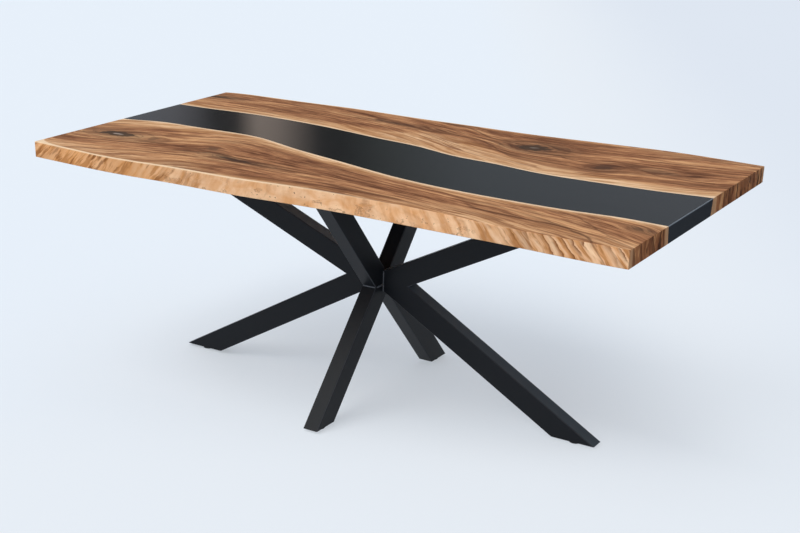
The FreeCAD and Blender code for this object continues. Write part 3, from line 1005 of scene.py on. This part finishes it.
CAMERA_PLACE = Vector((2.2604, -3.7055, 1.8146))
CAMERA_AZIMUTH = 31.04
CAMERA_ELEVATION = 18.07
CAMERA_ROLL = 1.16
SENSOR_WIDTH = 36.0
ROOM_RADIUS = 6.0
ROOM_HEIGHT = 3.6
ROOM_SIDES = 180
SCREEN_LEFT = 0.38
SCREEN_RIGHT = 1.7
SCREEN_HEIGHT = 0.66
SCREEN_BEHIND = 0.66
FLOOR_SIZE = 60.0
BLACK = (0, 0, 0)
ROOM_COLOR = (0.84, 0.93, 1.04)
KEY_COLOR = (1.0, 0.98, 0.93)
KEY_FROM = Vector((-0.30, -0.49, 0.82))
KEY_AWAY = 4.0

# Metres from the floor's middle over which it turns to its painted shade, and over which the
# table's shadow grows fainter to the right and to the front, with how much it does.
DIM_SPAN = (0.9, 2.4)
FADE_RIGHT = (0.5, 1.2)
FADE_FRONT = (-0.1, -0.7)
FADE_BY = 0.33

# What the polished river mirrors round the room: (degrees from +X, colour). The studio's
# walls are dim, with a warm window between two dark flags to the rear left.
SURROUNDINGS = [
    (0, (0.22, 0.24, 0.27)), (101, (0.21, 0.23, 0.26)), (116, (0.16, 0.18, 0.20)),
    (122, (0.08, 0.09, 0.09)), (125.5, (0.02, 0.02, 0.02)), (126.8, (0.04, 0.04, 0.04)),
    (130.2, (0.56, 0.46, 0.40)), (131.2, (0.52, 0.43, 0.37)), (132.2, (0.04, 0.04, 0.04)),
    (133.5, (0.03, 0.03, 0.03)), (136, (0.22, 0.22, 0.24)), (140, (0.25, 0.27, 0.31)),
    (180, (0.24, 0.26, 0.29)), (359, (0.22, 0.24, 0.27))]


def set_camera(look):
    azimuth = math.radians(CAMERA_AZIMUTH)
    elevation = math.radians(CAMERA_ELEVATION)
    roll = Matrix.Rotation(math.radians(CAMERA_ROLL), 4, "Z")
    camera = new_object("camera", bpy.data.cameras.new("camera"))
    camera.data.lens = look.focal_length
    camera.data.sensor_width = SENSOR_WIDTH
    tilt = Matrix.Rotation(math.pi / 2 - elevation, 4, "X")
    turn = Matrix.Rotation(azimuth, 4, "Z")
    camera.matrix_world = Matrix.Translation(CAMERA_PLACE) @ turn @ tilt @ roll
    bpy.context.scene.camera = camera


def lay_floor(look):
    """Pale floor, which glows a little to the eye so that the object's shadow stays light, with painted
    shade to the right.
    """
    def draw(bm):
        bmesh.ops.create_grid(bm, x_segments=1, y_segments=1, size=FLOOR_SIZE / 2)

    floor = mesh_object("floor", draw)
    finish = Finish("studio_floor")
    x, y, _ = finish.position()
    azimuth = math.radians(CAMERA_AZIMUTH)
    rightwards = x * math.cos(azimuth) + y * math.sin(azimuth)
    forwards = y * math.cos(azimuth) - x * math.sin(azimuth)
    dimmed_share = finish.smooth(rightwards, *DIM_SPAN)
    color = finish.mix(dimmed_share, look.floor, look.painted_dim_floor)
    finish.set(Base_Color=color, Roughness=1.0, Specular_IOR_Level=0.0)
    glow = finish.node("ShaderNodeEmission", values={"Color": color, "Strength": 1.0})
    clear = finish.most(finish.smooth(rightwards, *FADE_RIGHT), finish.smooth(forwards, *FADE_FRONT))
    finish.send_out("Material Output", finish.shader, glow, clear * FADE_BY + look.floor_glow)
    floor.data.materials.append(finish.material)


def show_to_mirrors(screen, finish):
    """Finish a screen or wall so that only glossy reflections see it."""
    screen.data.materials.append(finish.material)
    for rays in ("camera", "diffuse", "shadow", "transmission"):
        setattr(screen, "visible_" + rays, False)


def raise_surroundings():
    """Round wall for the polished river to mirror."""
    def draw(bm):
        bmesh.ops.create_cone(
            bm, cap_ends=False, segments=ROOM_SIDES, radius1=ROOM_RADIUS, radius2=ROOM_RADIUS,
            depth=ROOM_HEIGHT, matrix=Matrix.Translation((0, 0, ROOM_HEIGHT / 2)))

    wall = mesh_object("surroundings", draw)
    finish = Finish("studio_surroundings")
    turned = finish.node("ShaderNodeMapping", values={
        "Vector": finish.coordinates.outputs["Object"], "Rotation": (0, 0, math.pi)})
    bearing = finish.node("ShaderNodeTexGradient", {"gradient_type": "RADIAL"}, {0: turned.outputs[0]})
    stops = [(angle / 360, color) for angle, color in SURROUNDINGS]
    finish.set(Base_Color=BLACK, Specular_IOR_Level=0.0, Emission_Strength=1.0,
               Emission_Color=finish.ramp(bearing.outputs["Fac"], stops))
    show_to_mirrors(wall, finish)


def stand_dark_screen():
    """Black screen behind the table, lower than its top, which darkens the steel's right sides."""
    def draw(bm):
        upright = Matrix.Rotation(math.pi / 2, 4, "X")
        shape = Matrix.Diagonal((SCREEN_RIGHT - SCREEN_LEFT, SCREEN_HEIGHT, 1, 1))
        middle = (SCREEN_LEFT + SCREEN_RIGHT) / 2
        place = Matrix.Translation((middle, SCREEN_BEHIND, SCREEN_HEIGHT / 2))
        bmesh.ops.create_grid(bm, x_segments=1, y_segments=1, size=0.5, matrix=place @ upright @ shape)

    screen = mesh_object("dark_screen", draw)
    finish = Finish("studio_dark_screen")
    finish.set(Base_Color=BLACK, Specular_IOR_Level=0.0, Roughness=1.0)
    show_to_mirrors(screen, finish)


def light_room(look):
    """Even light for the object; the camera and mirror reflections see the pale backdrop."""
    world = bpy.data.worlds.new("studio")
    world.use_nodes = True
    bpy.context.scene.world = world
    nodes = Nodes(world.node_tree)
    rightwards = nodes.split(nodes.coordinates.outputs["Generated"])[0]
    room = world.node_tree.nodes["Background"]
    nodes.feed(room.inputs["Color"], ROOM_COLOR)
    nodes.feed(room.inputs["Strength"], look.room_light * (1 - rightwards * look.room_fall))
    backdrop = nodes.node("ShaderNodeBackground", values={"Color": look.floor})
    nodes.send_out("World Output", room, backdrop)


def hang_key_light(look):
    """Wide soft light from the left and above, in front of the table."""
    data = bpy.data.lights.new("key_light", "SUN")
    data.energy = look.key_light
    data.angle = look.key_angle
    data.color = KEY_COLOR
    lamp = new_object("key_light", data)
    lamp.rotation_mode = "QUATERNION"
    lamp.rotation_quaternion = KEY_FROM.to_track_quat("Z", "Y")
    lamp.location = KEY_FROM * KEY_AWAY


class TABLE_OT_set_stage(bpy.types.Operator):
    """Set the floor, lights and camera"""
    bl_idname = "river_table.set_stage"
    bl_label = "Set stage"

    def execute(self, context):
        look = context.scene.river_table_studio
        lay_floor(look)
        raise_surroundings()
        stand_dark_screen()
        light_room(look)
        hang_key_light(look)
        set_camera(look)
        context.scene.view_settings.view_transform = "Standard"
        return {"FINISHED"}


# ---- Add-on ----

OPERATORS = (
    TABLE_OT_finish_slabs,
    TABLE_OT_finish_river,
    TABLE_OT_coat_base,
    TABLE_OT_weld_base,
    TABLE_OT_plate_hardware,
    TABLE_OT_finish_inserts,
    TABLE_OT_mould_glides,
    TABLE_OT_set_stage,
)


class TABLE_PT_river_table(bpy.types.Panel):
    """Settings and steps of the river table"""
    bl_idname = "TABLE_PT_river_table"
    bl_label = "River table"
    bl_space_type = "VIEW_3D"
    bl_region_type = "UI"
    bl_category = "River table"

    def draw(self, context):
        for group in SETTINGS:
            box = self.layout.box()
            look = getattr(context.scene, group)
            for name in look.__annotations__:
                box.prop(look, name)
        for operator in OPERATORS:
            self.layout.operator(operator.bl_idname)


def register():
    for group, kind in SETTINGS.items():
        bpy.utils.register_class(kind)
        setattr(bpy.types.Scene, group, PointerProperty(type=kind))
    for kind in (*OPERATORS, TABLE_PT_river_table):
        bpy.utils.register_class(kind)


def unregister():
    for kind in reversed((*OPERATORS, TABLE_PT_river_table)):
        bpy.utils.unregister_class(kind)
    for group, kind in SETTINGS.items():
        delattr(bpy.types.Scene, group)
        bpy.utils.unregister_class(kind)


def main():
    register()
    for operator in OPERATORS:
        group, name = operator.bl_idname.split(".")
        getattr(getattr(bpy.ops, group), name)()


if __name__ == "__main__":
    main()
